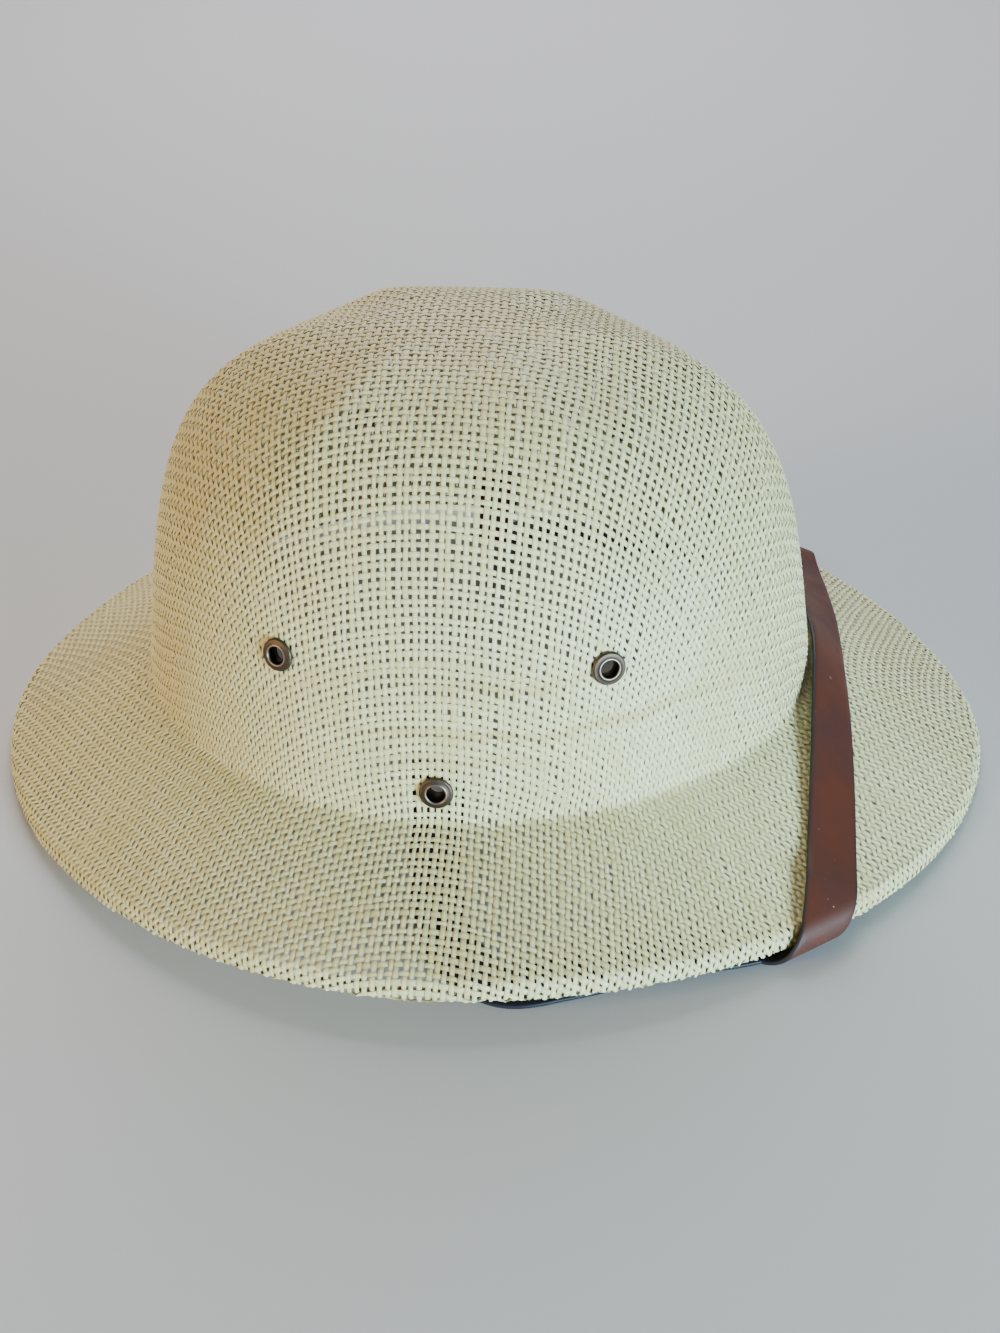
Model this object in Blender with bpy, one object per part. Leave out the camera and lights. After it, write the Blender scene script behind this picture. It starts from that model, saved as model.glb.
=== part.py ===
"""A woven straw pith helmet with brass eyelets and a chin strap, in metres at its real size.

+X is the hat's front, +Y the wearer's left and +Z up. The origin is under the middle of the hat's
length, on the surface that the front and back of the brim rest on.
"""
import bpy
import numpy as np
from mathutils import Matrix, Vector

# Plan sizes of the outside, measured from the crown's upright axis
BRIM_FRONT = 0.178
BRIM_BACK = 0.162
BRIM_SIDE = 0.1473
CROWN_FRONT = 0.1171
CROWN_BACK = 0.1092
CROWN_SIDE = 0.0952
AXIS_X = (BRIM_BACK - BRIM_FRONT) / 2

# Heights above the surface that the hat rests on
TOP_HEIGHT = 0.1488
CREASE_HEIGHT = 0.031
SIDE_LIFT = 0.0093

# The straw wall, its crease and its turned-down edge
WALL = 0.0016
CREASE_BLEND = 0.0040
RIM_DROP = 0.0070
RIM_REACH = 0.0040
REST_ANGLE = 6.0

# Powers of the ovals: 2 is an ellipse, less is more pointed
BRIM_POWER = 1.87
CROWN_POWER_LOW = 1.91
CROWN_POWER_HIGH = 1.85

# Crown profiles at the ends and at the sides: power of the height, power of the reach, and lean,
# the share of its reach that the profile has lost at the top
END_PROFILE = (4.44, 2.80, 0.160)
SIDE_PROFILE = (3.67, 3.63, 0.211)

# Pressed ridges, from the front round the wearer's left side: angle, and columns to the next one
RIDGES = (
    (0.0, 9),
    (53.5, 13),
    (125.5, 9),
    (180.0, 9),
    (234.5, 13),
    (306.5, 9),
)
PANEL_HOLLOW = 0.0024
RIDGE_SOFTNESS = 0.12
# The hollows between the ridges start and are full, then fade and end, at these shares of the way
# down from the top
HOLLOW_STARTS = (0.02, 0.30)
HOLLOW_ENDS = (0.47, 0.87)

# Rows of the shell's faces
RIM_ROWS = 3
BRIM_ROWS = 3
CREASE_ROWS = 3
CROWN_ROWS = 11

# Eyelets: name, angle from the front, and share of the crown's height
EYELETS = (
    ("front", 56.2, 0.382),
    ("back", 121.3, 0.382),
    ("low", 89.1, 0.086),
)
SIDES = (("right", -1), ("left", 1))
EYELET_HOLE_RADIUS = 0.0025
EYELET_BARREL = 0.0004
EYELET_FLANGE_RADIUS = 0.00515
EYELET_DOME = 0.0011
EYELET_CLINCH_RADIUS = 0.0043
EYELET_CLINCH = 0.0007
EYELET_SIDES = 14
FIT_GAP = 0.0003
SEAT_GAP = 0.0004

# Chin strap
STRAP_WIDTH = 0.0159
STRAP_THICKNESS = 0.0014
STRAP_TABLE_GAP = 0.0007
STRAP_END = 0.0085
STRAP_LEAN = 44.0
WRAP_ANGLE = 43.6
STRAP_STEPS = 4
# Over the brim: share of the way from the middle to the edge, share of the drift to the back that
# it has made, and the turn and facing of its outer side. A turn of 0 faces up, 90 out, 180 down.
STRAP_OVER = (
    (0.00, 0.00, STRAP_LEAN, 0),
    (0.32, 0.16, 33, -4),
    (0.62, 0.46, 25, -18),
    (0.85, 0.77, 21, -36),
)
# Round the edge: clearance, the reach of the bend below it, how far above the edge that bend
# starts, and how far the strap drifts to the back for each metre that it goes round
WRAP_GAP = 0.0011
WRAP_REACH = 0.0050
WRAP_START = 0.0020
WRAP_DRIFT = 0.85
WRAP_TURNS = (24, 40, 56, 72, 90, 112, 134, 156, 180)
# Under the brim: angle from the front, share of the way from crease to edge, height, turn
STRAP_UNDER = (
    (51.0, 0.78, None, 180),
    (62.0, 0.70, None, 180),
    (72.0, 0.72, None, 180),
    (79.5, 0.73, None, 180),
    (85.5, 0.52, 0.0042, 196),
    (89.0, 0.16, 0.0090, 222),
    (90.0, -0.10, 0.0190, 254),
)

STRAW = ("straw", (0.62, 0.56, 0.38), 0.85, 0.0)
BRASS = ("old_brass", (0.22, 0.15, 0.09), 0.38, 1.0)
VINYL = ("brown_vinyl", (0.13, 0.035, 0.022), 0.42, 0.0)


def clear_scene():
    for item in list(bpy.data.objects):
        bpy.data.objects.remove(item, do_unlink=True)


def material(finish):
    name, colour, roughness, metallic = finish
    made = bpy.data.materials.get(name)
    if made is None:
        made = bpy.data.materials.new(name)
        made.use_nodes = True
        shader = made.node_tree.nodes["Principled BSDF"]
        shader.inputs["Base Color"].default_value = (*colour, 1.0)
        shader.inputs["Roughness"].default_value = roughness
        shader.inputs["Metallic"].default_value = metallic
    return made


def make_object(name, points, faces, finish=None, smooth_angle=None):
    mesh = bpy.data.meshes.new(name)
    mesh.from_pydata([tuple(p) for p in points], [], faces)
    if smooth_angle is not None:
        mesh.shade_smooth()
        mesh.set_sharp_from_angle(angle=np.radians(smooth_angle))
    item = bpy.data.objects.new(name, mesh)
    bpy.context.scene.collection.objects.link(item)
    if finish is not None:
        mesh.materials.append(material(finish))
    return item


def smooth_step(low, high, value):
    share = np.clip((value - low) / (high - low), 0.0, 1.0)
    return share * share * (3.0 - 2.0 * share)


def oval(angle, front, back, side, power):
    """Radius of an egg-shaped superellipse at an angle from the front."""
    ahead = np.where(np.cos(angle) >= 0.0, front, back)
    total = np.abs(np.cos(angle) / ahead) ** power + np.abs(np.sin(angle) / side) ** power
    return total ** (-1.0 / power)


def polar(radius, angle, height):
    """A point, or an array of points, about the crown's axis."""
    return np.stack([AXIS_X + radius * np.cos(angle), radius * np.sin(angle), height + 0.0 * angle], -1)


def edge_radius(angle):
    return oval(angle, BRIM_FRONT, BRIM_BACK, BRIM_SIDE, BRIM_POWER)


def crease_radius(angle):
    return oval(angle, CROWN_FRONT, CROWN_BACK, CROWN_SIDE, CROWN_POWER_LOW)


def edge_height(angle):
    """The edge is level where it rests, at the front and back, and lifts towards the sides."""
    rest = np.sin(np.radians(REST_ANGLE))
    beyond = np.maximum(0.0, np.abs(np.sin(angle)) - rest) / (1.0 - rest)
    return SIDE_LIFT * beyond ** 2


def reach_at(profile, share):
    """Share of its full reach that a crown profile has at a share of the crown's height."""
    height_power, reach_power, lean = profile
    return (1.0 - share ** height_power) ** (1.0 / reach_power) * (1.0 - lean * share)


def panel_share(angle):
    """0 on a pressed ridge and 1 midway between two."""
    starts = [np.radians(row[0]) for row in RIDGES] + [2.0 * np.pi]
    place = np.interp(np.mod(angle, 2.0 * np.pi), starts, np.arange(len(starts)))
    wave = np.abs(np.sin(np.pi * place))
    low = RIDGE_SOFTNESS
    return (np.sqrt(wave ** 2 + low ** 2) - low) / (np.sqrt(1.0 + low ** 2) - low)


def crown_point(angle, share):
    """The crown's outside at an angle and a share of its height, with the hollows between ridges."""
    ends = reach_at(END_PROFILE, share)
    sides = reach_at(SIDE_PROFILE, share)
    power = CROWN_POWER_LOW + (CROWN_POWER_HIGH - CROWN_POWER_LOW) * share
    radius = oval(angle, CROWN_FRONT * ends, CROWN_BACK * ends, CROWN_SIDE * sides, power)
    height = CREASE_HEIGHT + (TOP_HEIGHT - CREASE_HEIGHT) * share
    point = polar(radius, angle, height)
    way_down = 0.5 * radius / crease_radius(angle) + 0.5 * (1.0 - share)
    depth = smooth_step(*HOLLOW_STARTS, way_down) * (1.0 - smooth_step(*HOLLOW_ENDS, way_down))
    inward = PANEL_HOLLOW * depth * panel_share(angle)
    heart = np.array([AXIS_X, 0.0, CREASE_HEIGHT])
    arm = point - heart
    length = np.linalg.norm(arm, axis=-1)
    return point - arm * (inward / length)[..., None]


def brim_point(angle, share):
    """The brim's outside, before its crease is blended, from crease (0) to edge (1)."""
    inner = crease_radius(angle)
    outer = edge_radius(angle)
    bend = 1.0 - RIM_REACH / (outer - inner)
    flat = np.minimum(share / bend, 1.0)
    lip = np.clip((share - bend) / (1.0 - bend), 0.0, 1.0)
    bend_height = edge_height(angle) + RIM_DROP
    height = CREASE_HEIGHT + (bend_height - CREASE_HEIGHT) * flat
    height = height - RIM_DROP * (1.0 - np.sqrt(1.0 - lip ** 2))
    return polar(inner + (outer - inner) * share, angle, height)


def brim_height(x, y):
    """Height of the brim's outside over a point of the plan, with the crease's blend."""
    angle = np.arctan2(y, x - AXIS_X)
    inner = crease_radius(angle)
    out = np.hypot(x - AXIS_X, y) - inner
    share = np.clip(out / (edge_radius(angle) - inner), 0.0, 1.0)
    near = np.clip(out / CREASE_BLEND, 0.0, 1.0)
    return brim_point(angle, share)[..., 2] + CREASE_BLEND * (1.0 - np.sqrt(near)) ** 2


def column_angles():
    angles = []
    ends = [row[0] for row in RIDGES[1:]] + [360.0]
    for (start, columns), end in zip(RIDGES, ends):
        angles.extend(start + (end - start) * k / columns for k in range(columns))
    return np.radians(angles)


def shell_rings(angle):
    """Rings of the shell's outside, from the brim's lower edge up to the last ring below the top."""
    rings = []
    bend = 1.0 - RIM_REACH / (edge_radius(angle) - crease_radius(angle))
    for turn in np.linspace(90.0, 0.0, RIM_ROWS + 1):
        rings.append(brim_point(angle, bend + (1.0 - bend) * np.sin(np.radians(turn))))
    blend_out = CREASE_BLEND / (edge_radius(angle) - crease_radius(angle))
    for step in range(1, BRIM_ROWS):
        rings.append(brim_point(angle, bend + (blend_out - bend) * step / BRIM_ROWS))
    blend_up = CREASE_BLEND / (TOP_HEIGHT - CREASE_HEIGHT)
    low = brim_point(angle, blend_out)
    corner = polar(crease_radius(angle), angle, CREASE_HEIGHT)
    high = crown_point(angle, blend_up + 0.0 * angle)
    for t in np.linspace(0.0, 1.0, CREASE_ROWS + 1):
        rings.append(low * (1 - t) ** 2 + corner * 2 * t * (1 - t) + high * t ** 2)
    height_power, reach_power, _ = END_PROFILE
    first = np.arcsin(blend_up ** (height_power / 2.0))
    last = 0.5 * np.pi
    for step in range(1, CROWN_ROWS):
        turn = first + (last - first) * step / CROWN_ROWS
        share = np.sin(turn) ** (2.0 / height_power)
        rings.append(crown_point(angle, share + 0.0 * angle))
    return np.array(rings)


def grid_normals(rings):
    """Outward normals of a grid of rings, from its neighbours along and across."""
    around = np.roll(rings, -1, axis=1) - np.roll(rings, 1, axis=1)
    upward = np.gradient(rings, axis=0)
    normal = np.cross(around, upward)
    return normal / np.linalg.norm(normal, axis=-1, keepdims=True)


def make_shell():
    angle = column_angles()
    outer = shell_rings(angle)
    normal = grid_normals(outer)
    # The cut edge is level, so its wall goes straight in
    normal[0, :, 2] = 0.0
    normal[0] /= np.linalg.norm(normal[0], axis=-1, keepdims=True)
    inner = outer - WALL * normal
    top = np.array([AXIS_X, 0.0, TOP_HEIGHT])
    points = np.concatenate([
        outer.reshape(-1, 3), top[None], inner.reshape(-1, 3), top[None] - [[0.0, 0.0, WALL]]])
    rows, columns = outer.shape[:2]
    outer_top = rows * columns
    inner_start = outer_top + 1
    inner_top = inner_start + outer_top
    faces = []
    for k in range(columns):
        after = (k + 1) % columns
        for row in range(rows - 1):
            low, high = row * columns, (row + 1) * columns
            faces.append((low + k, low + after, high + after, high + k))
            faces.append(tuple(inner_start + i for i in (high + k, high + after, low + after, low + k)))
        last = (rows - 1) * columns
        faces.append((last + k, last + after, outer_top))
        faces.append((inner_start + last + after, inner_start + last + k, inner_top))
        faces.append((after, k, inner_start + k, inner_start + after))
    return make_object("shell", points, faces, STRAW, smooth_angle=50.0)


def crown_frame(angle, share):
    """Place of the crown's outside with its normal, and with the way up the wall."""
    step = 1e-4
    here = crown_point(np.array(angle), np.array(share))
    round_it = crown_point(np.array(angle + step), np.array(share)) - here
    up_it = crown_point(np.array(angle), np.array(share + step)) - here
    normal = np.cross(round_it, up_it)
    return here, normal / np.linalg.norm(normal), up_it / np.linalg.norm(up_it)


def turned(profile, sides):
    """A closed profile of radius and height, turned about Z: its points and faces."""
    profile = np.array(profile)
    angle = 2.0 * np.pi * np.arange(sides) / sides
    radius = profile[:, 0][:, None]
    height = profile[:, 1][:, None] + 0.0 * angle
    points = np.stack([radius * np.cos(angle), radius * np.sin(angle), height], -1).reshape(-1, 3)
    faces = []
    for row in range(len(profile)):
        following = (row + 1) % len(profile)
        for k in range(sides):
            after = (k + 1) % sides
            faces.append((row * sides + k, row * sides + after,
                          following * sides + after, following * sides + k))
    return points, faces


def placement(here, normal, up_it):
    side = np.cross(up_it, normal)
    turn = Matrix([Vector(side), Vector(up_it), Vector(normal)]).transposed().to_4x4()
    return Matrix.Translation(Vector(here)) @ turn


def make_eyelet(name, angle, share, grip):
    """One turned eyelet: a domed flange outside, a barrel, and a clinched flange inside."""
    hole = EYELET_HOLE_RADIUS
    barrel = hole + EYELET_BARREL
    flange = EYELET_FLANGE_RADIUS
    top = SEAT_GAP + EYELET_DOME
    back = -grip - SEAT_GAP
    clinch = EYELET_CLINCH_RADIUS
    profile = (
        (hole, back + 0.3 * EYELET_CLINCH),
        (hole + 0.5 * EYELET_BARREL, back - EYELET_CLINCH),
        (clinch - 0.5 * EYELET_CLINCH, back - EYELET_CLINCH),
        (clinch, back),
        (barrel, back),
        (barrel, SEAT_GAP),
        (flange, SEAT_GAP),
        (flange - 0.1 * EYELET_DOME, SEAT_GAP + 0.5 * EYELET_DOME),
        (flange - 0.8 * EYELET_DOME, top),
        (hole + 1.5 * EYELET_BARREL, top),
        (hole, top - 0.6 * EYELET_DOME),
    )
    points, faces = turned(profile, EYELET_SIDES)
    item = make_object(name, points, faces, BRASS, smooth_angle=35.0)
    item.matrix_world = placement(*crown_frame(angle, share))
    return item


def make_hole_cutter(places):
    """Plain rods, one through each eyelet's place, joined as one cutter."""
    reach = 3.0 * (WALL + STRAP_THICKNESS)
    radius = EYELET_HOLE_RADIUS + EYELET_BARREL + FIT_GAP
    angle = 2.0 * np.pi * np.arange(EYELET_SIDES) / EYELET_SIDES
    ring = np.stack([radius * np.cos(angle), radius * np.sin(angle), 0.0 * angle], -1)
    points, faces = [], []
    for angle_from_front, share in places:
        here, normal, up_it = crown_frame(angle_from_front, share)
        side = np.cross(up_it, normal)
        flat = ring[:, :1] * side + ring[:, 1:2] * up_it + here
        start = len(points)
        points.extend(flat - reach * normal)
        points.extend(flat + reach * normal)
        low = [start + k for k in range(EYELET_SIDES)]
        high = [k + EYELET_SIDES for k in low]
        faces.append(tuple(reversed(low)))
        faces.append(tuple(high))
        for k in range(EYELET_SIDES):
            after = (k + 1) % EYELET_SIDES
            faces.append((low[k], low[after], high[after], high[k]))
    cutter = make_object("hole_cutter", points, faces)
    cutter.hide_render = True
    cutter.display_type = "WIRE"
    return cutter


def cut(item, cutter):
    boolean = item.modifiers.new("holes", "BOOLEAN")
    boolean.operation = "DIFFERENCE"
    boolean.solver = "EXACT"
    boolean.object = cutter


def facing(turn, azimuth):
    """Unit vector turned from straight up towards a level azimuth, both in degrees."""
    turn, azimuth = np.radians(turn), np.radians(azimuth)
    return np.array([np.sin(turn) * np.cos(azimuth), np.sin(turn) * np.sin(azimuth), np.cos(turn)])


def over_row(share, drift, turn, azimuth, last):
    """A place of the strap on top of the brim, just clear of the straw all across its width."""
    half = 0.5 * STRAP_WIDTH
    lean = np.radians(STRAP_LEAN)
    # At the front its upper border lies against the crown, about this high above the crease
    leaning_at = 0.3 * STRAP_WIDTH / (TOP_HEIGHT - CREASE_HEIGHT)
    wall = crown_point(np.array(0.0), np.array(leaning_at))[0]
    front = wall + SEAT_GAP + half * np.cos(lean) + 0.5 * STRAP_THICKNESS * np.sin(lean)
    x, y = front + drift * (last[0] - front), share * last[1]
    normal = facing(turn, azimuth)
    across = np.array([np.sqrt(1.0 - normal[0] ** 2), 0.0, -normal[0]])
    need = []
    for place in np.linspace(-half, half, 7):
        under = brim_height(x + place * across[0], y)
        need.append(under - place * across[2])
    height = max(need) + (SEAT_GAP + 0.5 * STRAP_THICKNESS) / normal[2]
    return np.array([x, y, height, turn, azimuth])


def strap_wrap():
    """The strap's stretch round the brim's edge: a quarter oval over the turned-down edge, then one
    from outside the edge to the surface. It lies slantwise over the edge, so its sections there run
    along the edge. Returns the row before them, their centres and normals, the way along the edge,
    and the row after them."""
    at = -np.radians(WRAP_ANGLE)
    edge = polar(edge_radius(at), at, edge_height(at))
    step = 1e-4
    along = polar(edge_radius(at + step), at + step, 0.0) - polar(edge_radius(at), at, 0.0)
    along = along / np.linalg.norm(along)
    out = np.array([along[1], -along[0], 0.0])
    azimuth = np.degrees(np.arctan2(out[1], out[0]))
    clear = WRAP_GAP + 0.5 * STRAP_THICKNESS
    floor = STRAP_TABLE_GAP + 0.5 * STRAP_THICKNESS
    flat = []
    for turn in np.radians(WRAP_TURNS):
        way = np.array([np.sin(turn), np.cos(turn)])
        if way[1] >= 0.0:
            axes = np.array([RIM_REACH, RIM_DROP - WRAP_START]) + clear
            middle = np.array([-RIM_REACH, edge[2] + WRAP_START])
        else:
            axes = np.array([WRAP_REACH, edge[2] + WRAP_START - floor])
            middle = np.array([clear - WRAP_REACH, edge[2] + WRAP_START])
        flat.append(middle + axes ** 2 * way / np.linalg.norm(axes * way))
    flat = np.array(flat)
    gone = np.concatenate([[0.0], np.cumsum(np.linalg.norm(np.diff(flat, axis=0), axis=1))])
    gone -= gone[WRAP_TURNS.index(90)]
    centres = edge + flat[:, :1] * out - WRAP_DRIFT * gone[:, None] * along
    centres[:, 2] = flat[:, 1]
    normals = np.array([facing(turn, azimuth) for turn in WRAP_TURNS])
    # A square section needs this much way before and after the slanted ones
    room = 0.6 * STRAP_WIDTH * WRAP_DRIFT / np.hypot(1.0, WRAP_DRIFT)
    ends = []
    for k, sign in ((0, -1.0), (-1, 1.0)):
        onward = np.cross(along, normals[k]) - WRAP_DRIFT * along
        place = centres[k] + sign * room * onward
        ends.append(np.array([*place, WRAP_TURNS[k], azimuth]))
    return ends[0], centres, normals, along, ends[1]


def strap_seat():
    """How far inside the crown's outside the low eyelet holds the strap: the straw, a gap, and
    the bulge of the wall behind the flat strap."""
    angle, share = -np.radians(EYELETS[-1][1]), EYELETS[-1][2]
    here, normal, _ = crown_frame(angle, share)
    turn = 0.5 * STRAP_WIDTH / crease_radius(angle)
    beside = [crown_point(np.array(angle + k * turn), np.array(share)) for k in (-1, 1)]
    bulge = max(float((here - place) @ normal) for place in beside)
    return WALL + 2.0 * SEAT_GAP + bulge


def under_rows(wrap_end):
    """The strap under the brim, from its wrap to its end inside the crown."""
    floor = STRAP_TABLE_GAP + 0.5 * STRAP_THICKNESS
    rows = [wrap_end]
    for degrees, share, height, turn in STRAP_UNDER:
        angle = -np.radians(degrees)
        radius = crease_radius(angle) + share * (edge_radius(angle) - crease_radius(angle))
        place = polar(radius, angle, floor if height is None else height)
        rows.append(np.array([*place, turn, -degrees]))
    here, normal, up_it = crown_frame(-np.radians(EYELETS[-1][1]), EYELETS[-1][2])
    seat = here - (strap_seat() + 0.5 * STRAP_THICKNESS) * normal
    wall_turn = 360.0 - np.degrees(np.arccos(-normal[2]))
    wall_azimuth = np.degrees(np.arctan2(normal[1], normal[0]))
    for rise in (-0.5 * STRAP_WIDTH, 0.0, STRAP_END):
        place = seat + rise * up_it
        rows.append(np.array([*place, wall_turn, wall_azimuth]))
    return rows


def spline(rows):
    """A Catmull-Rom curve through the rows from the second to the last but one."""
    rows = np.array(rows)
    found = []
    for k in range(1, len(rows) - 2):
        a, b, c, d = rows[k - 1:k + 3]
        for t in np.arange(STRAP_STEPS) / STRAP_STEPS:
            found.append(0.5 * (2 * b + (c - a) * t + (2 * a - 5 * b + 4 * c - d) * t ** 2
                                + (3 * b - a - 3 * c + d) * t ** 3))
    return np.array(found + [rows[-2]])


def square_sections(line, before=None, after=None):
    """Both borders and the normal of a band along a line of rows. The places before and after it
    set the direction of its ends."""
    first = 2 * line[0, :3] - line[1, :3] if before is None else before
    last = 2 * line[-1, :3] - line[-2, :3] if after is None else after
    centre = np.concatenate([[first], line[:, :3], [last]])
    tangent = centre[2:] - centre[:-2]
    tangent /= np.linalg.norm(tangent, axis=1, keepdims=True)
    normal = np.array([facing(turn, azimuth) for turn, azimuth in line[:, 3:]])
    normal -= tangent * (normal * tangent).sum(1, keepdims=True)
    normal /= np.linalg.norm(normal, axis=1, keepdims=True)
    across = np.cross(normal, tangent) * 0.5 * STRAP_WIDTH
    return np.stack([line[:, :3] - across, line[:, :3] + across, normal], 1)


def strap_sections():
    """Sections of the strap from the middle of the front to its end on the right side, each with
    its back border, front border and normal."""
    mirror = np.array([1, -1, 1, 1, -1])
    wrap_start, centres, normals, along, wrap_end = strap_wrap()
    over = [over_row(*row, wrap_start) for row in STRAP_OVER]
    over = [over[1] * mirror] + over + [wrap_start]
    over.append(np.array([*centres[0], *wrap_start[3:]]))
    over_line = spline(over)
    top = square_sections(over_line, over_line[1, :3] * mirror[:3], centres[0])
    slant = along * 0.5 * STRAP_WIDTH * np.hypot(1.0, WRAP_DRIFT)
    round_edge = np.stack([centres - slant, centres + slant, normals], 1)
    under = [np.array([*centres[-1], *wrap_end[3:]])] + under_rows(wrap_end)
    under.append(2 * under[-1] - under[-2])
    below = square_sections(spline(under), centres[-1])
    return np.concatenate([top, round_edge, below])


def make_strap():
    """The strap as one flat band: the right half's sections, mirrored to the left."""
    right = strap_sections()
    # On the left half, the borders stay back and front, and the order runs the other way
    left = right[:0:-1] * np.array([1, -1, 1])
    sections = np.concatenate([left, right])
    thick = sections[:, 2] * 0.5 * STRAP_THICKNESS
    back, front = sections[:, 0], sections[:, 1]
    corners = np.stack([back - thick, front - thick, front + thick, back + thick], 1)
    faces = [(0, 1, 2, 3)]
    last = 4 * (len(corners) - 1)
    faces.append((last + 3, last + 2, last + 1, last))
    for row in range(len(corners) - 1):
        for k in range(4):
            after = (k + 1) % 4
            faces.append((4 * row + k, 4 * row + 4 + k, 4 * row + 4 + after, 4 * row + after))
    return make_object("chin_strap", corners.reshape(-1, 3), faces, VINYL, smooth_angle=40.0)


def main():
    clear_scene()
    shell = make_shell()
    strap = make_strap()
    places = []
    for side, sign in SIDES:
        for row, degrees, share in EYELETS:
            angle = sign * np.radians(degrees)
            grip = strap_seat() + STRAP_THICKNESS if row == "low" else WALL + SEAT_GAP
            make_eyelet(f"eyelet_{side}_{row}", angle, share, grip)
            places.append((angle, share))
    cutter = make_hole_cutter(places)
    cut(shell, cutter)
    cut(strap, cutter)


main()
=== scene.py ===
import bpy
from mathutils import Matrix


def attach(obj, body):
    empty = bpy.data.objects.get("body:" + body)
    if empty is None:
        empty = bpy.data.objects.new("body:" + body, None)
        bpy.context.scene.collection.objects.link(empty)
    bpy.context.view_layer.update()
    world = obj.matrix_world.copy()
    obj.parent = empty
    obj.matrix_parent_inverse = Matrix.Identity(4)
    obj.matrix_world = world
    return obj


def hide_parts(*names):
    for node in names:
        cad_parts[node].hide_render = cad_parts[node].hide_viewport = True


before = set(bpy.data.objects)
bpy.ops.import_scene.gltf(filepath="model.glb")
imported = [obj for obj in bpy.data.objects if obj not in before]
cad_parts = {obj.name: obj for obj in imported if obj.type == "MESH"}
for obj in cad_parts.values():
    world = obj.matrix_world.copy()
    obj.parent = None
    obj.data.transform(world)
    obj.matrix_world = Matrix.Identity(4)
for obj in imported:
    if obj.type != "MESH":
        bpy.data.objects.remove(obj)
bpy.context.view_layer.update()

import bpy
import numpy as np
from mathutils import Matrix, Vector

# The blocked form, with the same values as the part's source
BRIM_FRONT = 0.178
BRIM_BACK = 0.162
BRIM_SIDE = 0.1473
CROWN_FRONT = 0.1171
CROWN_BACK = 0.1092
CROWN_SIDE = 0.0952
AXIS_X = (BRIM_BACK - BRIM_FRONT) / 2
TOP_HEIGHT = 0.1488
CREASE_HEIGHT = 0.031
SIDE_LIFT = 0.0093
WALL = 0.0016
CREASE_BLEND = 0.0040
CREASE_SHARP = 0.0014
RIM_DROP = 0.0070
RIM_REACH = 0.0040
REST_ANGLE = 6.0
BRIM_POWER = 1.87
CROWN_POWER_LOW = 1.91
CROWN_POWER_HIGH = 1.85
END_PROFILE = (4.44, 2.80, 0.160)
SIDE_PROFILE = (3.67, 3.63, 0.211)
RIDGE_ANGLES = (0.0, 53.5, 125.5, 180.0, 234.5, 306.5)
PANEL_HOLLOW = 0.0024
RIDGE_SOFTNESS = 0.12
HOLLOW_STARTS = (0.02, 0.30)
HOLLOW_ENDS = (0.47, 0.87)

# Weave: how deep the middle of the cloth lies under the blocked form, and its yarns
CLOTH_DEPTH = 0.00066
CRIMP = 0.00032
YARN_THICKNESS = 0.00044
HEM = 0.0045
FOLD_RADIUS = 0.00058
FOLD_RISE = 0.00130
# Spacing of the yarns down the cloth, in metres, by the way from the top (0) through the crease (1)
# to the edge (2), and by how much it is stretched on the slanting ways down
PITCH_AT = (0.0, 0.15, 0.42, 0.65, 0.85, 2.0)
PITCH = (0.00268, 0.00249, 0.00265, 0.00260, 0.00276, 0.00276)
STRETCH_AT = (0.0, 0.3, 0.6, 0.85, 1.0, 1.3, 2.0)
STRETCH = (0.0, 0.04, 0.15, 0.19, 0.28, 0.19, 0.17)
# How far the cloth is drawn towards the four straight ways down, by yarns counted from the top, and
# how far this pull is sharpened
SPREAD_AT = (0.0, 15.0, 30.0, 45.0, 60.0, 75.0, 90.0, 115.0)
SPREAD = (0.0, -0.020, 0.017, 0.060, 0.095, 0.064, 0.043, 0.022)
SHARPEN = (0.0, 0.010, 0.003, -0.009, -0.013, 0.0, 0.007, 0.014)
STRANDS_MIDDLE = 24
# Width of a yarn: a width of its own, a share of its room, the share that it keeps where the weave is
# closed and loses where it is open, its chance for each yarn and along it, its limit, and how far it
# is drawn in where it goes through
WIDTH_OWN = 0.000534
WIDTH_ROOM = 0.46
WIDTH_CLOSED = 1.12
WIDTH_OPENING = 0.24
WIDTH_CHANCE = (0.05, 0.08)
WIDTH_LIMIT = 0.96
WIDTH_DRAWN_IN = 0.10
# Corners sharper than this, in degrees, stay sharp on a yarn and on the strap
YARN_SHARP = 70.0
STRAP_SHARP = 60.0
# Random shifts: how far a yarn wanders, in yarns, and how many yarns along apart its shifts and its
# changes of width are
SHIFT = 0.085
SHIFT_APART = 5
WIDTH_APART = 4
# Painted shade on a yarn along its borders and where it dips under others, and its chance of a deeper tone
BORDER_SHADE = 0.26
DIP_SHADE = 0.09
TONE_CHANCE = 0.45
# Small level wrinkles pressed into the crown: height, middle along the hat, half length, depth
WRINKLES = (
    (0.0740, 0.014, 0.034, 0.00055),
    (0.0585, 0.020, 0.052, 0.00080),
    (0.0500, 0.004, 0.030, 0.00050),
)
WRINKLE_HALF_WIDTH = 0.0017
WRINKLE_OPENS = 400.0
# Depth at which a wrinkle's painted crease shade is full
WRINKLE_SHADE_DEPTH = 0.0008
# How the wrinkles waver: rise, length and start
WRINKLE_WAVERS = (
    (0.0012, 0.011, 40.0),
    (0.0006, 0.0043, 90.0),
)

# Eyelets: name, angle from the front, and share of the crown's height
EYELETS = (
    ("front", 56.2, 0.382),
    ("back", 121.3, 0.382),
    ("low", 89.1, 0.086),
)
SIDES = (("right", -1), ("left", 1))
EYELET_HOLE_RADIUS = 0.0025
EYELET_BARREL = 0.0004
EYELET_FLANGE_RADIUS = 0.00515
EYELET_DOME = 0.0011
EYELET_CLINCH_RADIUS = 0.0043
EYELET_CLINCH = 0.0007
EYELET_CUT = 0.0037
EYELET_REACH = 0.012
FIT_GAP = 0.0003
SEAT_GAP = 0.0004

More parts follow.
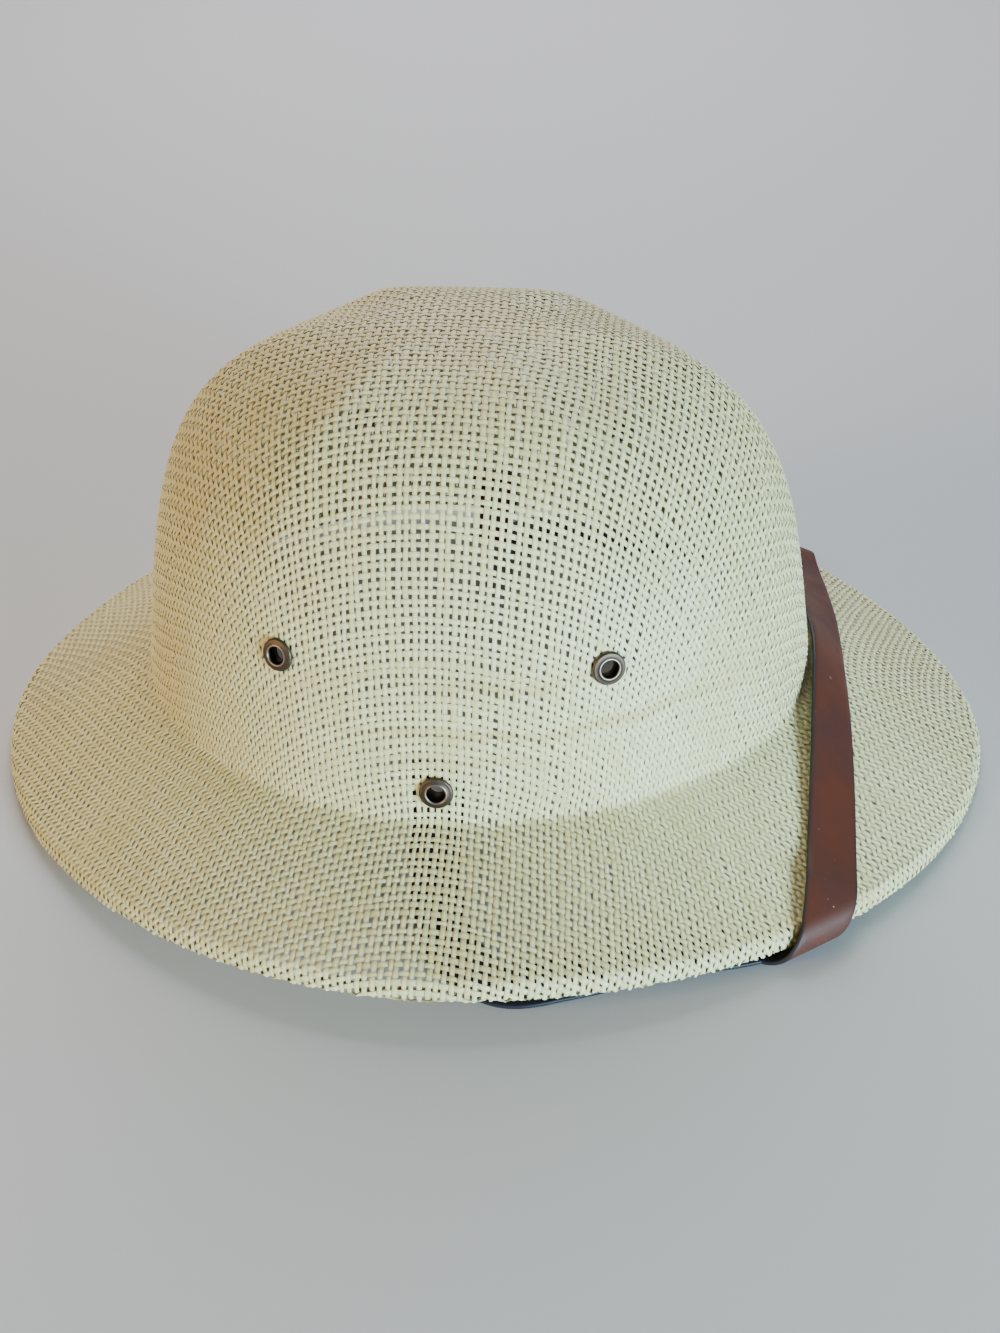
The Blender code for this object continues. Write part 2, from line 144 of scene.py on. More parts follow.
# Chin strap, with the same values as the part's source
STRAP_WIDTH = 0.0159
STRAP_THICKNESS = 0.0014
STRAP_TABLE_GAP = 0.0007
STRAP_END = 0.0085
STRAP_LEAN = 44.0
WRAP_ANGLE = 43.6
STRAP_STEPS = 8
STRAP_OVER = (
    (0.00, 0.00, STRAP_LEAN, 0),
    (0.32, 0.16, 33, -4),
    (0.62, 0.46, 25, -18),
    (0.85, 0.77, 21, -36),
)
WRAP_GAP = 0.0011
WRAP_REACH = 0.0050
WRAP_START = 0.0020
WRAP_DRIFT = 0.85
WRAP_TURNS = (24, 32, 40, 48, 56, 64, 72, 81, 90, 101, 112, 123, 134, 145, 156, 168, 180)
STRAP_UNDER = (
    (51.0, 0.78, None, 180),
    (62.0, 0.70, None, 180),
    (72.0, 0.72, None, 180),
    (79.5, 0.73, None, 180),
    (85.5, 0.52, 0.0042, 196),
    (89.0, 0.16, 0.0090, 222),
    (90.0, -0.10, 0.0190, 254),
)

# The camera at the photograph's angle
CAMERA_LENS = 43.21
CAMERA_DISTANCE = 0.557575
CAMERA_ELEVATION = 35.557
CAMERA_AZIMUTH = 5.764
CAMERA_ROLL = -0.844
CAMERA_TARGET = (0.003435, 0.0, 0.02064)


# Blocked form

def smooth_step(low, high, value):
    """0 below low and 1 above high, with a level start and end."""
    share = np.clip((value - low) / (high - low), 0.0, 1.0)
    return share * share * (3.0 - 2.0 * share)


def oval(angle, front, back, side, power):
    """Radius of an egg-shaped superellipse at an angle from the front: the powers of its cosine over
    the front or back reach and of its sine over the side reach add up to one."""
    ahead = np.where(np.cos(angle) >= 0.0, front, back)
    total = np.abs(np.cos(angle) / ahead) ** power + np.abs(np.sin(angle) / side) ** power
    return total ** (-1.0 / power)


def polar(radius, angle, height):
    """A point, or an array of points, about the crown's axis."""
    return np.stack([AXIS_X + radius * np.cos(angle), radius * np.sin(angle), height + 0.0 * angle], -1)


def edge_radius(angle):
    return oval(angle, BRIM_FRONT, BRIM_BACK, BRIM_SIDE, BRIM_POWER)


def crease_radius(angle):
    return oval(angle, CROWN_FRONT, CROWN_BACK, CROWN_SIDE, CROWN_POWER_LOW)


def edge_height(angle):
    """Level at the front and back, and lifted as the square of the way towards the sides."""
    rest = np.sin(np.radians(REST_ANGLE))
    beyond = np.maximum(0.0, np.abs(np.sin(angle)) - rest) / (1.0 - rest)
    return SIDE_LIFT * beyond ** 2


def reach_at(profile, share):
    """Share of its full reach that a crown profile has at a share of the crown's height: a
    superellipse's quarter, times one less the lean."""
    height_power, reach_power, lean = profile
    return (1.0 - share ** height_power) ** (1.0 / reach_power) * (1.0 - lean * share)


def panel_share(angle):
    """0 on a pressed ridge and 1 midway between two: a half wave between ridges, rounded at 0."""
    starts = np.radians(RIDGE_ANGLES + (360.0,))
    place = np.interp(np.mod(angle, 2.0 * np.pi), starts, np.arange(len(starts)))
    wave = np.abs(np.sin(np.pi * place))
    low = RIDGE_SOFTNESS
    return (np.sqrt(wave ** 2 + low ** 2) - low) / (np.sqrt(1.0 + low ** 2) - low)


def crown_point(angle, share):
    """The crown's outside: an oval at each share of its height, whose reach follows the profiles,
    moved inwards between the ridges."""
    ends = reach_at(END_PROFILE, share)
    sides = reach_at(SIDE_PROFILE, share)
    power = CROWN_POWER_LOW + (CROWN_POWER_HIGH - CROWN_POWER_LOW) * share
    radius = oval(angle, CROWN_FRONT * ends, CROWN_BACK * ends, CROWN_SIDE * sides, power)
    height = CREASE_HEIGHT + (TOP_HEIGHT - CREASE_HEIGHT) * share
    point = polar(radius, angle, height)
    way_down = 0.5 * radius / crease_radius(angle) + 0.5 * (1.0 - share)
    depth = smooth_step(*HOLLOW_STARTS, way_down) * (1.0 - smooth_step(*HOLLOW_ENDS, way_down))
    inward = PANEL_HOLLOW * depth * panel_share(angle)
    arm = point - np.array([AXIS_X, 0.0, CREASE_HEIGHT])
    length = np.linalg.norm(arm, axis=-1)
    return point - arm * (inward / length)[..., None]


def brim_point(angle, share):
    """The brim's outside from crease (0) to edge (1): a straight slope, then a quarter oval down."""
    inner = crease_radius(angle)
    outer = edge_radius(angle)
    bend = 1.0 - RIM_REACH / (outer - inner)
    flat = np.minimum(share / bend, 1.0)
    lip = np.clip((share - bend) / (1.0 - bend), 0.0, 1.0)
    bend_height = edge_height(angle) + RIM_DROP
    height = CREASE_HEIGHT + (bend_height - CREASE_HEIGHT) * flat
    height = height - RIM_DROP * (1.0 - np.sqrt(1.0 - lip ** 2))
    return polar(inner + (outer - inner) * share, angle, height)


def brim_height(x, y):
    """Height of the brim's outside over a point of the plan, with the crease's blend."""
    angle = np.arctan2(y, x - AXIS_X)
    inner = crease_radius(angle)
    out = np.hypot(x - AXIS_X, y) - inner
    share = np.clip(out / (edge_radius(angle) - inner), 0.0, 1.0)
    near = np.clip(out / CREASE_BLEND, 0.0, 1.0)
    return brim_point(angle, share)[..., 2] + CREASE_BLEND * (1.0 - np.sqrt(near)) ** 2


def unit(vectors):
    return vectors / np.linalg.norm(vectors, axis=-1, keepdims=True)


def crown_frame(angle, share):
    """Place of the crown's outside with its normal, and with the way up the wall."""
    step = 1e-4
    here = crown_point(np.array(angle), np.array(share))
    round_it = crown_point(np.array(angle + step), np.array(share)) - here
    up_it = crown_point(np.array(angle), np.array(share + step)) - here
    return here, unit(np.cross(round_it, up_it)), unit(up_it)


# Cloth on the form

def outside_rows(angle):
    """The blocked form as rows of points, one column for each angle, from just below the top, down
    the crown, round the crease as a parabola, out over the brim and down its edge to the fold."""
    crown_steps, crease_steps, brim_steps, lip_steps = 260, 12, 60, 24
    height_power = END_PROFILE[0]
    blend_up = CREASE_SHARP / (TOP_HEIGHT - CREASE_HEIGHT)
    first = np.arcsin(blend_up ** (height_power / 2.0))
    part = (np.arange(1, crown_steps + 1) / crown_steps) ** 1.8
    turn = 0.5 * np.pi - (0.5 * np.pi - first) * part
    share = (np.sin(turn) ** (2.0 / height_power))[:, None]
    crown = crown_point(angle[None] + 0.0 * share, share + 0.0 * angle[None])
    width = edge_radius(angle) - crease_radius(angle)
    blend_out = CREASE_SHARP / width
    low = brim_point(angle, blend_out)
    corner = polar(crease_radius(angle), angle, CREASE_HEIGHT)
    t = (1.0 - np.arange(1, crease_steps + 1) / crease_steps)[:, None, None]
    crease = low * (1.0 - t) ** 2 + corner * 2.0 * t * (1.0 - t) + crown[-1] * t ** 2
    bend = 1.0 - RIM_REACH / width
    step = (np.arange(1, brim_steps + 1) / brim_steps)[:, None]
    brim = brim_point(angle[None] + 0.0 * step, blend_out + (bend - blend_out) * step)
    last_turn = np.arccos(FOLD_RISE / RIM_DROP)
    step = (np.arange(1, lip_steps + 1) / lip_steps)[:, None]
    lip = brim_point(angle[None] + 0.0 * step, bend + (1.0 - bend) * np.sin(last_turn * step))
    rows = np.concatenate([crown, crease, brim, lip])
    return rows, np.arange(len(rows)) >= len(crown) + crease_steps // 2


def grid_normals(rows):
    """Outward normals of a grid whose rows run down and whose columns run round."""
    around = np.roll(rows, -1, axis=1) - np.roll(rows, 1, axis=1)
    downward = np.gradient(rows, axis=0)
    return unit(np.cross(downward, around))


def wrinkle_share(point):
    """The depth of the wrinkles at a place on the right side, in metres: for each, a bell curve over
    its height, which wavers a little along it, times a bell curve over its length."""
    x, y, z = point[..., 0], point[..., 1], point[..., 2]
    depth = 0.0 * x
    for height, middle, reach, deep in WRINKLES:
        level = height
        for rise, length, start in WRINKLE_WAVERS:
            level = level + rise * np.sin(x / length + start * height)
        across = ((z - level) / WRINKLE_HALF_WIDTH) ** 2
        depth = depth + deep * np.exp(-across - ((x - middle) / reach) ** 4)
    return depth * (y < 0.0)


class Cloth:
    """The middle of the woven cloth, laid over the form. A place on the flat cloth is (u, v), counted
    in yarns from the top, u to the front and v to the left. It lies as many yarns down the form as it
    is from the top. Its flat turn about the top is its turn on the form, less the spread times the
    sine of four turns, less the sharpening times the sine of eight turns."""
    columns = 720
    rows = 1200

    def __init__(self):
        angle = 2.0 * np.pi * np.arange(self.columns) / self.columns
        outside, beyond_crease = outside_rows(angle)
        normal = grid_normals(outside)
        pressed = wrinkle_share(outside) * ~beyond_crease[:, None]
        middle = outside - (CLOTH_DEPTH + pressed)[..., None] * normal
        middle, normal, way = self.add_hem(middle, normal, beyond_crease)
        length = np.linalg.norm(np.diff(middle, axis=0), axis=2)
        half_way = 0.5 * (way[1:] + way[:-1])
        stretch = np.interp(half_way, STRETCH_AT, STRETCH) * np.sin(2.0 * angle) ** 2
        pitch = np.interp(half_way, PITCH_AT, PITCH) * (1.0 + stretch)
        count = np.concatenate([np.zeros((1, self.columns)), np.cumsum(length / pitch, axis=0)])
        self.reach = count[-1]
        self.edge = count[self.fold_row] / count[-1]
        table = np.empty((self.rows, self.columns, 7))
        wanted = np.linspace(0.0, 1.0, self.rows)
        full = np.concatenate([middle, normal, way[..., None]], axis=2)
        for column in range(self.columns):
            known = count[:, column] / count[-1, column]
            for value in range(7):
                table[:, column, value] = np.interp(wanted, known, full[:, column, value])
        self.table = table

    def add_hem(self, middle, normal, beyond_crease):
        """Adds the top point before the rows, and after them the half circle of the fold and the
        hem, which runs back inside the edge. Also finds each row's way: 0 at the top, 1 at the
        crease and 2 at the fold."""
        columns = middle.shape[1]
        top = np.tile([AXIS_X, 0.0, TOP_HEIGHT - CLOTH_DEPTH], (1, columns, 1))
        middle = np.concatenate([top, middle])
        normal = np.concatenate([np.tile([0.0, 0.0, 1.0], (1, columns, 1)), normal])
        crease_row = int(np.argmax(beyond_crease)) + 1
        arc = np.concatenate([np.zeros((1, columns)),
                              np.cumsum(np.linalg.norm(np.diff(middle, axis=0), axis=2), axis=0)])
        to_crease = arc[crease_row]
        way = np.where(arc <= to_crease, arc / to_crease, 1.0 + (arc - to_crease) / (arc[-1] - to_crease))
        self.fold_row = len(middle) - 1
        out = normal[-1]
        down = unit(middle[-1] - middle[-2])
        turn = (np.pi * np.arange(1, 9) / 8)[:, None, None]
        centre = middle[-1] - FOLD_RADIUS * out
        fold = centre + FOLD_RADIUS * (out * np.cos(turn) + down * np.sin(turn))
        fold_normal = out * np.cos(turn) + down * np.sin(turn)
        back = np.linspace(0.0, HEM, 12)[1:]
        hem = np.empty((len(back), columns, 3))
        hem_normal = np.empty((len(back), columns, 3))
        from_edge = arc[-1] - arc
        for column in range(columns):
            known = from_edge[::-1, column]
            for value in range(3):
                n = np.interp(back, known, normal[::-1, column, value])
                hem_normal[:, column, value] = -n
                hem[:, column, value] = np.interp(back, known, middle[::-1, column, value])
        hem += 2.0 * FOLD_RADIUS * unit(hem_normal)
        middle = np.concatenate([middle, fold, hem])
        normal = np.concatenate([normal, fold_normal, hem_normal])
        way = np.concatenate([way, np.full((len(fold) + len(hem), columns), 2.0)])
        return middle, normal, way

    def at(self, u, v):
        """Place, normal and way down of flat places, with False where they lie past the hem."""
        count = np.hypot(u, v)
        flat_angle = np.arctan2(v, u)
        spread = np.interp(count, SPREAD_AT, SPREAD)
        sharpen = np.interp(count, SPREAD_AT, SHARPEN)
        angle = flat_angle
        for _ in range(10):
            angle = flat_angle + spread * np.sin(4.0 * angle) + sharpen * np.sin(8.0 * angle)
        column = np.mod(angle / (2.0 * np.pi) * self.columns, self.columns)
        left = np.floor(column).astype(int) % self.columns
        right = (left + 1) % self.columns
        side = (column - np.floor(column))[..., None]
        reach = self.reach[left] * (1.0 - side[..., 0]) + self.reach[right] * side[..., 0]
        row = count / reach * (self.rows - 1)
        within = row <= self.rows - 1
        row = np.minimum(row, self.rows - 1.001)
        high = np.floor(row).astype(int)
        down = (row - high)[..., None]
        found = ((self.table[high, left] * (1.0 - side) + self.table[high, right] * side) * (1.0 - down)
                 + (self.table[high + 1, left] * (1.0 - side) + self.table[high + 1, right] * side) * down)
        return found[..., :3], unit(found[..., 3:6]), found[..., 6], within


CLOTH = Cloth()
COUNT = int(np.ceil(CLOTH.reach.max())) + 2


# Yarns

def wander_table(seed, coarse):
    """A table of smooth random shifts, one row for each yarn and one column for each few yarns
    along it."""
    chance = np.random.RandomState(seed)
    return chance.normal(0.0, 1.0, (2 * COUNT + 1, 2 * COUNT // coarse + 3))


def wander(table, coarse, yarn, along):
    """Reads a table of shifts at a yarn and a place along it, bilinearly."""
    row = np.clip(yarn + COUNT, 0.0, table.shape[0] - 1.001)
    column = np.clip((along + COUNT) / coarse, 0.0, table.shape[1] - 1.001)
    r, c = np.floor(row).astype(int), np.floor(column).astype(int)
    fr, fc = row - r, column - c
    return ((table[r, c] * (1 - fc) + table[r, c + 1] * fc) * (1 - fr)
            + (table[r + 1, c] * (1 - fc) + table[r + 1, c + 1] * fc) * fr)


SHIFT_U = wander_table(11, SHIFT_APART)
SHIFT_V = wander_table(12, SHIFT_APART)


def laid(u, v):
    """Flat places with each yarn's small wander, put onto the form."""
    return CLOTH.at(u + SHIFT * wander(SHIFT_U, SHIFT_APART, u, v),
                    v + SHIFT * wander(SHIFT_V, SHIFT_APART, v, u))


def openness(point, way):
    """How open the weave is, from 0, closed up, to 1: drawn open on the shoulder, and closed up low
    on the crown, in soft waves."""
    x, y, z = point[..., 0], point[..., 1], point[..., 2]
    shoulder = np.exp(-((way - 0.42) / 0.20) ** 2)
    low = np.exp(-((way - 0.86) / 0.13) ** 2)
    wave = (np.sin(61.0 * x + 23.0 * z + 1.0) * np.sin(47.0 * z - 19.0 * x + 0.6)
            + 0.6 * np.sin(93.0 * x - 71.0 * y + 2.0) * np.sin(84.0 * z + 41.0 * x))
    wrinkled = WRINKLE_OPENS * wrinkle_share(point) * (way < 1.0)
    return np.clip(0.50 + 0.30 * shoulder - 0.30 * low + 0.16 * wave + wrinkled, 0.0, 1.0)


def build_mesh(name, points, faces, values=None, face_uv=None):
    """A mesh from whole arrays of points and four-cornered faces, with float values at its points
    and a flat place for each face's corner."""
    mesh = bpy.data.meshes.new(name)
    mesh.vertices.add(len(points))
    mesh.vertices.foreach_set("co", points.astype(np.float32).ravel())
    mesh.loops.add(4 * len(faces))
    mesh.loops.foreach_set("vertex_index", faces.astype(np.int32).ravel())
    mesh.polygons.add(len(faces))
    mesh.polygons.foreach_set("loop_start", np.arange(0, 4 * len(faces), 4, dtype=np.int32))
    mesh.update(calc_edges=True)
    mesh.validate()
    mesh.shade_smooth()
    for label, value in (values or {}).items():
        kind = "FLOAT" if value.ndim == 1 else "FLOAT_VECTOR"
        layer = mesh.attributes.new(label, kind, "POINT")
        layer.data.foreach_set("value" if value.ndim == 1 else "vector", value.astype(np.float32).ravel())
    if face_uv is not None:
        layer = mesh.uv_layers.new(name="OFBake")
        layer.uv.foreach_set("vector", face_uv.astype(np.float32).ravel())
    item = bpy.data.objects.new(name, mesh)
    bpy.context.scene.collection.objects.link(item)
    return item


def eyelet_places():
    found = []
    for side, sign in SIDES:
        for row, degrees, share in EYELETS:
            found.append((f"eyelet_{side}_{row}", row, *crown_frame(sign * np.radians(degrees), share)))
    return found


EYELET_PLACES = eyelet_places()


def make_yarns(name, lengthwise, numbers, seed):
    """A set of side by side yarns. Each runs as a wave over and under the yarns that cross it: its
    middle stands off the cloth's middle by the crimp times the cosine of its count along. Its
    section has four corners, a yarn's width apart across and its thickness apart through, and its
    width keeps within the room to its neighbours."""
    chance = np.random.RandomState(seed)
    numbers = np.asarray(numbers)
    along = np.arange(-2 * COUNT, 2 * COUNT + 1) / 2.0
    yarn, place = np.meshgrid(numbers.astype(float), along, indexing="ij")
    u, v = (place, yarn) if lengthwise else (yarn, place)
    point, normal, way, within = laid(u, v)
    half = 0.5
    du = laid(u + half, v)[0] - laid(u - half, v)[0]
    dv = laid(u, v + half)[0] - laid(u, v - half)[0]
    forward, aside = (du, dv) if lengthwise else (dv, du)
    tangent = unit(forward + 1e-12)
    step_along = np.linalg.norm(forward, axis=-1)
    room = np.linalg.norm(np.cross(forward, aside), axis=-1) / np.maximum(step_along, 1e-9)
    across = unit(np.cross(normal, tangent) + 1e-12)
    across = across - tangent * (across * tangent).sum(-1, keepdims=True)
    open_here = openness(point, way)
    own = chance.normal(0.0, 1.0, len(numbers))[:, None]
    thick_thin = wander(wander_table(seed + 50, WIDTH_APART), WIDTH_APART, yarn, place)
    width = (WIDTH_OWN + WIDTH_ROOM * room) * (WIDTH_CLOSED - WIDTH_OPENING * open_here)
    width = width * (1.0 + WIDTH_CHANCE[0] * own + WIDTH_CHANCE[1] * thick_thin)
    width = np.minimum(width, WIDTH_LIMIT * room)
    swell = 1.0 if lengthwise else -1.0
    parity = np.where(numbers % 2 == 0, 1.0, -1.0)[:, None]
    lift = swell * CRIMP * parity * np.cos(np.pi * place)
    # A yarn is wider where it lies over, and drawn in where it goes through
    through = np.abs(np.sin(np.pi * place))
    width = width * (1.0 - WIDTH_DRAWN_IN * through)
    centre = point + lift[..., None] * normal
    for _, _, here, facing_out, _ in EYELET_PLACES:
        offset = point - here
        level = offset - facing_out * (offset @ facing_out)[..., None]
        near = np.linalg.norm(offset, axis=-1) < EYELET_REACH
        within = within & ~(near & (np.linalg.norm(level, axis=-1) < EYELET_CUT))
    within[:, 0] = within[:, -1] = False
    lonely = within & ~np.roll(within, 1, axis=1) & ~np.roll(within, -1, axis=1)
    within = within & ~lonely
    arm = across * (0.5 * width)[..., None]
    rise = normal * (0.5 * YARN_THICKNESS)
    corners = np.stack([centre - arm, centre - rise, centre + arm, centre + rise], 2)
    used = np.cumsum(within.ravel()).reshape(within.shape) - 1
    points = corners[within].reshape(-1, 3)
    start = 4 * used
    joined = within[:, :-1] & within[:, 1:]
    yarn_row, step = np.nonzero(joined)
    this, following = start[:, :-1][joined], start[:, 1:][joined]
    faces, flat = [], []
    strips = len(numbers)
    steps = len(along)
    for k in range(4):
        after = (k + 1) % 4
        quad = np.stack([this + k, this + after, following + after, following + k], 1)
        left, right = step / steps, (step + 1) / steps
        low, high = (yarn_row + k / 4) / strips, (yarn_row + (k + 1) / 4) / strips
        spot = np.stack([left, low, left, high, right, high, right, low], 1).reshape(-1, 4, 2)
        faces.append(quad)
        flat.append(spot)
    for ends, corner_order, shift in ((within[:, 1:] & ~within[:, :-1], (3, 2, 1, 0), -0.5),
                                      (within[:, :-1] & ~within[:, 1:], (0, 1, 2, 3), 0.5)):
        part = start[:, 1:][ends] if shift < 0 else start[:, :-1][ends]
        row, column = np.nonzero(ends)
        column = column + 1 if shift < 0 else column
        faces.append(np.stack([part + k for k in corner_order], 1))
        near, far = column / steps, (column + shift) / steps
        low, high = row / strips, (row + 1) / strips
        flat.append(np.stack([near, low, far, low, far, high, near, high], 1).reshape(-1, 4, 2))
    tone = TONE_CHANCE * (own + thick_thin)
    # Painted shade: a yarn is darker along its borders, where it dips under the yarns that cross it, and
    # most on its inner side
    dip = DIP_SHADE * (1.0 - lift / CRIMP)
    border = BORDER_SHADE + dip
    # Painted shade in the wrinkles' creases, carried as the strand's third value
    wear_and_crease_shade = np.clip(wrinkle_share(point) / WRINKLE_SHADE_DEPTH, 0.0, 1.0) * (way < 1.0)
    gone = np.cumsum(step_along * 0.5, axis=1)
    strand = np.stack([gone, yarn * 0.37 + seed, wear_and_crease_shade], -1)
    values = {
        "inner": np.stack([border, np.ones_like(border), border, dip], -1)[within].ravel(),
        "tone": np.repeat(tone[within], 4),
        "strand": np.repeat(strand[within], 4, axis=0),
    }
    item = build_mesh(name, points, np.concatenate(faces), values, np.concatenate(flat))
    item.data.set_sharp_from_angle(angle=np.radians(YARN_SHARP))
    item.data.materials.append(STRAW)
    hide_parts("shell")
    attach(item, "root")
    return item


# Materials

def new_material(name):
    made = bpy.data.materials.new(name)
    made.use_nodes = True
    return made, made.node_tree.nodes["Principled BSDF"]


def new_group(name, inputs):
    """A shader node group that gives a colour, a roughness and a height. An input that starts with
    None is a vector, one with a number is a value, and one with four numbers is a colour."""
    tree = bpy.data.node_groups.new(name, "ShaderNodeTree")
    for label, start in inputs.items():
        kind = "Vector" if start is None else "Float" if isinstance(start, float) else "Color"
        socket = tree.interface.new_socket(name=label, in_out="INPUT", socket_type="NodeSocket" + kind)
        if start is not None:
            socket.default_value = start
    for label, kind in (("Color", "Color"), ("Roughness", "Float"), ("Height", "Float")):
        tree.interface.new_socket(name=label, in_out="OUTPUT", socket_type="NodeSocket" + kind)
    return tree, tree.nodes.new("NodeGroupInput"), tree.nodes.new("NodeGroupOutput")


def add(tree, kind, **settings):
    """A node with the settings and the socket values given: sockets are named by their number."""
    node = tree.nodes.new(kind)
    for key, value in settings.items():
        if key.startswith("in_"):
            node.inputs[int(key[3:])].default_value = value
        else:
            setattr(node, key, value)
    return node


def mixed(tree, share, first, second):
    """A colour between two colours, each a socket or a plain colour."""
    node = add(tree, "ShaderNodeMix", data_type="RGBA")
    tree.links.new(share, node.inputs[0])
    for slot, colour in ((6, first), (7, second)):
        if isinstance(colour, bpy.types.NodeSocket):
            tree.links.new(colour, node.inputs[slot])
        else:
            node.inputs[slot].default_value = (*colour, 1.0)
    return node.outputs[2]


def noise(tree, vector, scale, detail=2.0, roughness=0.5):
    node = add(tree, "ShaderNodeTexNoise")
    node.inputs["Scale"].default_value = scale
    node.inputs["Detail"].default_value = detail
    node.inputs["Roughness"].default_value = roughness
    tree.links.new(vector, node.inputs["Vector"])
    return node.outputs["Fac"]


def ramp(tree, value, low, high, to_low=0.0, to_high=1.0):
    node = add(tree, "ShaderNodeMapRange", interpolation_type="SMOOTHSTEP")
    for slot, number in ((1, low), (2, high), (3, to_low), (4, to_high)):
        node.inputs[slot].default_value = number
    tree.links.new(value, node.inputs[0])
    return node.outputs[0]


def math(tree, operation, first, second):
    node = add(tree, "ShaderNodeMath", operation=operation)
    for slot, value in ((0, first), (1, second)):
        if isinstance(value, bpy.types.NodeSocket):
            tree.links.new(value, node.inputs[slot])
        else:
            node.inputs[slot].default_value = value
    return node.outputs[0]


def straw_group():
    """Paper straw: pale yellow, with each yarn's own tone, fine streaks along it, yellowed patches and a
    tan towards the back; painted shade in the wrinkles, along each yarn's borders, where it dips and on
    the side that faces the head; and painted light that leaves the crown paler low down than high up."""
    tree, start, end = new_group("paper_straw", {
        "Place": None, "Strand": None, "Tone": 0.0, "Painted_Shade_Share": 0.0,
        "Pale": (0.81, 0.76, 0.40, 1.0), "Deep": (0.62, 0.54, 0.24, 1.0),
        "Aged_And_Painted_Shade": (0.62, 0.49, 0.19, 1.0), "Inside": (0.13, 0.09, 0.045, 1.0)})
    link = tree.links.new
    stretch = add(tree, "ShaderNodeVectorMath", operation="MULTIPLY", in_1=(700.0, 60.0, 0.0))
    link(start.outputs["Strand"], stretch.inputs[0])
    streak = noise(tree, stretch.outputs[0], 1.0, 3.0, 0.6)
    fine = noise(tree, start.outputs["Place"], 2600.0, 2.0, 0.6)
    blotch = noise(tree, start.outputs["Place"], 22.0, 3.0, 0.55)
    own = ramp(tree, start.outputs["Tone"], -2.0, 2.0)
    shade = math(tree, "ADD", math(tree, "MULTIPLY", own, 0.55), math(tree, "MULTIPLY", streak, 0.45))
    body = mixed(tree, ramp(tree, shade, 0.25, 0.85), start.outputs["Pale"], start.outputs["Deep"])
    apart = add(tree, "ShaderNodeSeparateXYZ")
    link(start.outputs["Place"], apart.inputs[0])
    backward = ramp(tree, apart.outputs[0], 0.06, -0.14)
    patch = math(tree, "MULTIPLY", ramp(tree, blotch, 0.42, 0.70), 0.35)
    creased = add(tree, "ShaderNodeSeparateXYZ")
    link(start.outputs["Strand"], creased.inputs[0])
    # Painted light: the crown turns tan towards its top, leaving its low wall paler where the window
    # lights it
    high = ramp(tree, apart.outputs[2], 0.075, 0.115, 0.0, 0.26)
    aged_and_painted_shade = math(tree, "ADD", math(tree, "ADD", patch, high), math(tree, "MULTIPLY", backward, 0.22))
    # Painted shade in the wrinkles' creases, towards the tan colour
    aged_and_painted_shade = math(tree, "ADD", aged_and_painted_shade, math(tree, "MULTIPLY", creased.outputs[2], 0.90))
    outside = mixed(tree, aged_and_painted_shade, body, start.outputs["Aged_And_Painted_Shade"])
    # Painted shade: a yarn's inner side, borders and dips are mixed towards a near black brown
    inner = math(tree, "MULTIPLY", start.outputs["Painted_Shade_Share"], 0.85)
    link(mixed(tree, inner, outside, start.outputs["Inside"]), end.inputs["Color"])
    link(ramp(tree, streak, 0.2, 0.8, 0.46, 0.68), end.inputs["Roughness"])
    link(math(tree, "ADD", streak, math(tree, "MULTIPLY", fine, 0.4)), end.inputs["Height"])
    return tree


def brass_group():
    """Antique brass: dark brown in its hollows, rubbed bright on its rolled edges, finely pitted, with
    painted
    shade: near black down its throat.
    """
    tree, start, end = new_group("antique_brass", {
        "Place": None, "Rub_And_Throat_Shade": 0.0,
        "Dark": (0.085, 0.060, 0.044, 1.0), "Bright": (0.27, 0.22, 0.18, 1.0)})
    link = tree.links.new
    cloud = noise(tree, start.outputs["Place"], 700.0, 4.0, 0.6)
    pits = noise(tree, start.outputs["Place"], 4200.0, 2.0, 0.5)
    patchy = math(tree, "MULTIPLY", math(tree, "SUBTRACT", cloud, 0.5), 0.8)
    rubbed = math(tree, "ADD", start.outputs["Rub_And_Throat_Shade"], patchy)
    share = ramp(tree, rubbed, 0.15, 0.95)
    # Painted shade: where the rub is below zero, down the throat, it is painted near black
    throat_painted_shade = ramp(tree, start.outputs["Rub_And_Throat_Shade"], -0.9, 0.0)
    metal = mixed(tree, share, start.outputs["Dark"], start.outputs["Bright"])
    link(mixed(tree, throat_painted_shade, (0.006, 0.005, 0.004), metal), end.inputs["Color"])
    link(ramp(tree, share, 0.0, 1.0, 0.52, 0.42), end.inputs["Roughness"])
    link(math(tree, "ADD", cloud, math(tree, "MULTIPLY", pits, 0.5)), end.inputs["Height"])
    return tree


